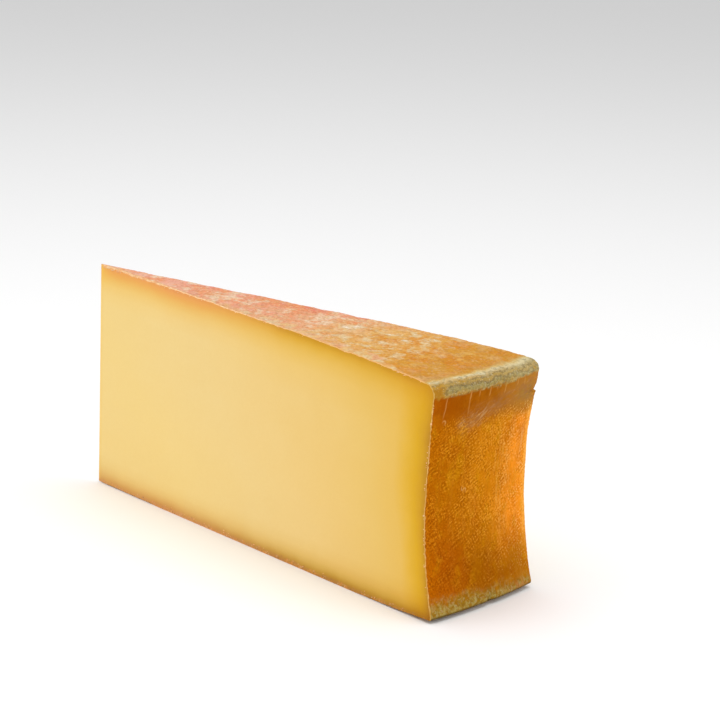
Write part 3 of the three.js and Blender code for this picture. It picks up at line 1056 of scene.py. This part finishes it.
def heelColours(look):
    across, broad = look.at("across"), look.keep("broad", look.share("broad"))
    # Colours across the heel grow lighter towards the far cut, partly the rind's own tone and partly painted
    # light from the right
    wandering = look.plus(look.times(look.minus(broad, 0.5), rind["heelWander"]), across)
    depth = look.plus(look.share("depth"), look.at("Z"), look.share("depthSlope"))
    look.keep("depth", depth)
    # Lower down the heel the colours darken: painted shade
    low = look.ramp(wandering, "heelFoot")
    colour = look.mix(look.share("lowHeel"), look.ramp(wandering, "heel"), low)
    colour = look.cover(colour, "rust", "golden")
    threadPitShade, threadTop = look.ramp(across, "threadPitShade"), look.ramp(across, "threadTop")
    colour = look.mix(look.share("streaks"), colour, threadTop)

    # Glazed under the rim, with a soft lower boundary
    boundary = look.plus(look.share("glazeWander"), look.at("fromRim"), look.share("glazeSlope"))
    look.keep("boundary", boundary)
    glaze = look.cover(look.ramp(across, "glazed"), "glazedLight", "glazedDark")
    colour = look.mix(look.share("glazed"), look.cover(colour, "dull"), glaze)
    # A painted highlight along the far cut's edge
    colour = look.cover(colour, "farEdgeHighlight")

    # The cloth's imprint: painted shade between the threads and painted highlight on top of them
    rising = look.keep("rising", look.sum("COSINE", look.at("rising")))
    falling = look.keep("falling", look.sum("COSINE", look.at("falling")))
    threads = look.times(look.minus(rising, falling), look.at("lean"))
    threads = look.plus(look.share("crossings"), threads, falling)
    threads = look.times(threads, look.share("printed"))
    grain = look.times(look.minus(look.share("grain"), 0.5), rind["grainDepth"])
    imprint = look.plus(grain, threads)
    look.keep("imprint", look.times(imprint, look.at("woven")))
    colour = look.mix(look.share("pits"), colour, threadPitShade)
    colour = look.mix(look.share("tops"), colour, threadTop)

    # The scuff: a brown patch, a dull haze, and short pale scratches that are plainest at its low end
    look.keep("worn", look.larger(look.at("stain"), look.share("scuffWorn")))
    look.keep("scratches", look.larger(look.share("scratches"), look.share("fan")))
    return look.cover(colour, "stain", "haze", "plum", "scratch")


def footColours(look, colour):
    # Grey and tan mould along the foot, with a dark line of painted shade where the rind turns under to meet
    # the shelf
    look.keep("footLine", look.plus(look.at("Z"), look.share("footSlope"), look.share("footWander")))
    mould = look.cover(look.tint("foot"), "footGrey", "footPink", "footDark", "footPale")
    return look.cover(look.mix(look.share("footBand"), colour, mould), "footContactShade")


def mouldColours(look):
    # The upper rim: a pale ridge, tan, a dark speckled line and a grey-green strip
    down = look.plus(look.at("fromRim"), look.raised("wobble"), look.raised("fineWobble"))
    look.keep("down", down)
    look.keep("gold", look.larger(look.share("goldCorner"), look.share("goldSpots")))
    look.keep("specks", look.share("specks"))
    tints = "mouldTan", "mouldFar", "mouldGold", "mouldPale", "mouldDark", "cornerBrown"
    return look.cover(look.ramp(down, "mould"), *tints)


def upperColours(look):
    # The upper face: salmon towards the tip, golden towards the heel, blotched with pale mould
    def between(kind):
        return look.times(look.share(kind + "From"), look.share(kind + "To"))

    def lines(kind, width):
        # Thin lines where the patches pass their middle value
        look.keep(kind, look.sum("ABSOLUTE", look.minus(look.share(kind), 0.5)))
        return look.times(look.share(width), halfway)

    radius, y = look.at("radius"), look.at("Y")
    wandering = look.plus(look.share("wander"), look.minus(radius, rind["upperStart"]))
    look.keep("wandering", wandering)
    towardsHeel = look.keep("towardsHeel", look.share("towardsHeel"))
    look.keep("turned", look.sum("DIVIDE", y, look.plus(radius, rind["aroundTip"])))
    look.keep("farSide", look.share("farSide"))
    pink = look.times(look.share("pinkClouds"), look.raised("pinkFar"))
    pink = look.larger(pink, look.times(between("pink"), look.share("pinkPatch")))
    look.keep("pink", look.times(pink, look.minus(1.0, towardsHeel)))
    colour = look.cover(look.ramp(wandering, "upper"), "pink")
    orange = look.cover(look.tint("orange"), "amber")
    colour = look.mix(look.share("orangeClouds"), colour, orange)
    look.keep("dusty", look.share("dusty"))
    look.keep("creamZone", look.raised("creamTip"))
    colour = look.cover(colour, "straw", "cream")
    colour = look.mix(look.share("orangeSpots"), colour, orange)
    look.keep("spots", between("spots"))
    look.keep("spotZone", look.raised("spotShare"))
    colour = look.cover(colour, "spot", "bloom")

    # A ragged pale strip along the cuts, widest halfway along
    inside = look.minus(look.times(radius, math.sin(halfAngle)), look.sum("ABSOLUTE", y))
    look.keep("wide", between("wide"))
    ragged = look.times(look.share("ragged"), look.raised("stripWidth"))
    look.keep("inside", look.minus(inside, ragged))
    edgeTint = look.cover(look.tint("edgeCream"), "blush", "edgeSpot")
    colour = look.mix(look.share("strip"), colour, edgeTint)

    # Fine curved ridges in the skin, halfway along, and darker lines between them
    halfway = between("halfway")
    look.keep("ridge", lines("ridges", "ridgeWidth"))
    look.keep("vein", lines("veins", "veinWidth"))
    look.keep("grit", look.share("grit"))
    look.keep("flourZone", look.raised("flourHeel"))
    return look.cover(colour, "ridge", "vein", "grit", "flour")


def finishRind():
    look = Look("clothMarkedRind", rind)
    look.fromAxis()
    heelColour = footColours(look, heelColours(look))
    mould = mouldColours(look)
    topColour = upperColours(look)
    look.keep("rimPlace", look.plus(look.share("rimWander"), look.at("fromRim")))
    sideColour = look.mix(look.at("rimBand"), heelColour, mould)
    colour = look.cover(look.mix(look.share("onTop"), sideColour, topColour), "crease")
    colour = look.mix(look.share("underneath"), colour, topColour)
    crustBump = look.plus(look.minus(look.at("grit"), look.at("ridge")), look.share("speckBump"))
    crustBump = look.times(crustBump, look.at("rimBand"))
    return look.finish(colour, look.plus(look.share("threadBump"), crustBump), look.share("roughness"))


crumbled = {
    "roughness": 0.8,
    "shine": 0.05,
    "bump": (0.0002, 0.6),
    "shares": {
        "grain": [(0.0006, 0.3, 0.7, 3, 1.0)], "blotches": [(0.0022, 0.3, 0.7, 3, 3.0)],
        "alongHeel": [{"fromRim": (0.0, 0.008)}], "rimFrom": [{"fromRim": (-0.006, 0.0)}],
    },
    "tints": {
        "pale": [247, 212, 164], "peach": [232, 168, 112, {"blotches": ()}],
        "gold": [224, 168, 84, {"radius": (0.13, 0.21, 0, 0.6)}], "honey": [228, 184, 112],
        "ochre": [206, 146, 62, {"blotches": ()}],
        "rimTan": [206, 164, 84, 0.85, {"rimFrom": (), "fromRim": (0.014, 0.009)}],
        "footTan": [196, 152, 70, 0.9, {"Z": (0.012, 0.004)}],
    },
}


def finishCrumbled(name, onEdge):
    look = Look(name, crumbled)
    look.keep("blotches", look.share("blotches"))
    colour = look.cover(look.tint("pale"), "peach")
    if onEdge:
        look.fromAxis()
        look.keep("rimFrom", look.share("rimFrom"))
        alongHeel = look.cover(look.tint("honey"), "ochre")
        colour = look.mix(look.share("alongHeel"), look.cover(colour, "gold"), alongHeel)
        colour = look.cover(colour, "rimTan", "footTan")
    return look.finish(colour, look.share("grain"))


for material in (finishRind(), finishPaste(), finishCrumbled("crumbledEdge", True)):
    wedge.data.materials.append(material)
crumbObject.data.materials.append(finishCrumbled("looseCrumbs", False))
print("finishes: rind, cut paste, crumbled edge, crumbs")

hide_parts("cheese_wedge")
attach(wedge, "root")
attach(crumbObject, "root")


studio = {
    "floorSize": 8.0,
    "floor": (250, 250, 250),
    "roughness": 0.9,
    "shine": 0.1,
    "world": 0.6,
    "lampsAim": Vector((0, 0, 0.06)),
    # name: place, size and watts; each lamp faces the wedge
    "lamps": {
        "overhead": ((0.0, -0.1, 1.6), 1.8, 16),
        "leftFront": ((-0.5, -1.5, 0.9), 1.2, 4),
        "rightSide": ((1.5, 0.2, 0.7), 0.9, 4.5),
    },
}


def makeStudio():
    half = studio["floorSize"] / 2
    data = bpy.data.meshes.new("studioFloor")
    corners = [(-half, -half, 0), (half, -half, 0), (half, half, 0), (-half, half, 0)]
    data.from_pydata(corners, [], [(0, 1, 2, 3)])
    floor = bpy.data.objects.new("studio_floor", data)
    bpy.context.collection.objects.link(floor)
    floor.data.materials.append(Look("paleFloor", studio).finish(paint(*studio["floor"])))
    world = bpy.data.worlds.new("softRoom")
    bpy.context.scene.world = world
    world.use_nodes = True
    background = world.node_tree.nodes["Background"]
    background.inputs["Color"].default_value = (1, 1, 1, 1)
    background.inputs["Strength"].default_value = studio["world"]
    for name, (place, size, watts) in studio["lamps"].items():
        lamp = bpy.data.lights.new(name, "AREA")
        lamp.size = size
        lamp.energy = watts
        holder = bpy.data.objects.new(name, lamp)
        holder.location = place
        aim = studio["lampsAim"] - Vector(place)
        holder.rotation_euler = aim.to_track_quat("-Z", "Y").to_euler()
        bpy.context.collection.objects.link(holder)


cameraPlace = {
    "from": Vector((0.9414, -1.0258, 0.4695)),
    "aim": Vector((0.0235, 0.0355, 0.1036)),
    "roll": math.radians(2.13),
    "lens": 130,
    "sensor": 36,
}


def makeCamera():
    data = bpy.data.cameras.new("camera")
    data.lens = cameraPlace["lens"]
    data.sensor_width = cameraPlace["sensor"]
    camera = bpy.data.objects.new("camera", data)
    facing = (cameraPlace["aim"] - cameraPlace["from"]).to_track_quat("-Z", "Y").to_matrix().to_4x4()
    roll = Matrix.Rotation(cameraPlace["roll"], 4, "Z")
    camera.matrix_world = Matrix.Translation(cameraPlace["from"]) @ facing @ roll
    bpy.context.collection.objects.link(camera)
    bpy.context.scene.camera = camera


makeStudio()
makeCamera()
bpy.context.scene.view_settings.view_transform = "Standard"
bpy.context.scene.view_settings.look = "None"
print("studio and camera are in place")
